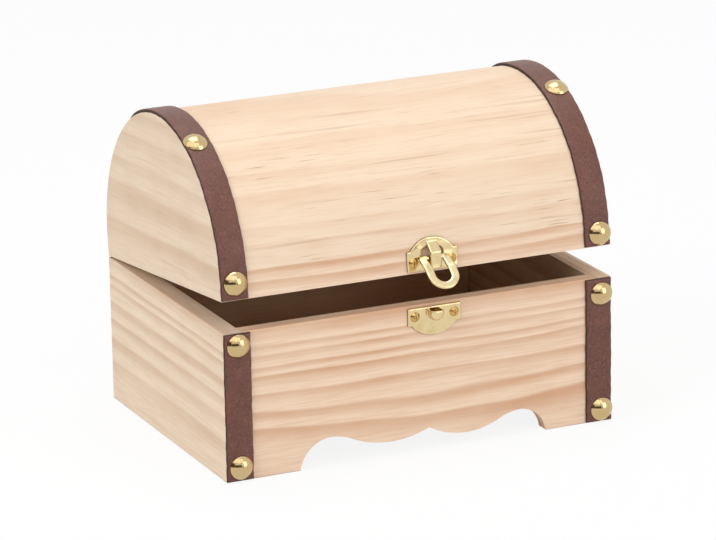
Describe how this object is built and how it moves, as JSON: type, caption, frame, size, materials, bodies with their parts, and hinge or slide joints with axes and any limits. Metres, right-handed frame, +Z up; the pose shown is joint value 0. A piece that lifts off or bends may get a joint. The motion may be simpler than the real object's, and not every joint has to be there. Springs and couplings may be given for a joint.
{
  "type": "treasure chest",
  "caption": "Small pine treasure chest with a barrel lid on butt hinges, scalloped front foot, leather corner straps with domed brass nails, and a brass hasp clasp.",
  "frame": {"origin": "on the table at the middle of the back face's lower edge", "axes": "+X to the right seen from the front, +Y out of the back, +Z up"},
  "size_m": [0.1813, 0.1468, 0.1448],
  "materials": {
    "pine_boards": "raw, planed",
    "pine_top": "raw, sanded",
    "leather": "semi-matte, dark cut edges",
    "brass": "bright, polished"
  },
  "bodies": {
    "base": {"base_front_board": "pine_boards", "base_back_board": "pine_boards", "base_left_board": "pine_boards", "base_right_board": "pine_boards", "base_floor": "pine_boards", "base_strap_left": "leather", "base_strap_right": "leather", "base_strap_nails": "brass", "catch_plate": "brass", "catch_plate_screws": "brass", "hinge_base_leaf_left": "brass", "hinge_base_leaf_right": "brass", "hinge_pin_left": "brass", "hinge_pin_right": "brass", "hinge_base_screws": "brass"},
    "lid": {"lid_left_end": "pine_boards", "lid_right_end": "pine_boards", "lid_front_rail": "pine_boards", "lid_back_rail": "pine_boards", "lid_top": "pine_top", "lid_strap_left": "leather", "lid_strap_right": "leather", "lid_strap_nails": "brass", "hasp_plate": "brass", "hasp_plate_screws": "brass", "hinge_lid_leaf_left": "brass", "hinge_lid_leaf_right": "brass", "hinge_lid_screws": "brass"},
    "hasp": {"hasp_loop": "brass"}
  },
  "joints": [
    {"name": "lid_hinge", "type": "hinge", "parent": "base", "child": "lid", "pos_m": [0, 0.00195, 0.06515], "axis": [-1, 0, 0], "range_deg": [-5.9, 158]},
    {"name": "hasp_swing", "type": "hinge", "parent": "lid", "child": "hasp", "pos_m": [0.0063, -0.12875, 0.08504], "axis": [-1, 0, 0], "range_deg": [-48.2, 110]}
  ]
}
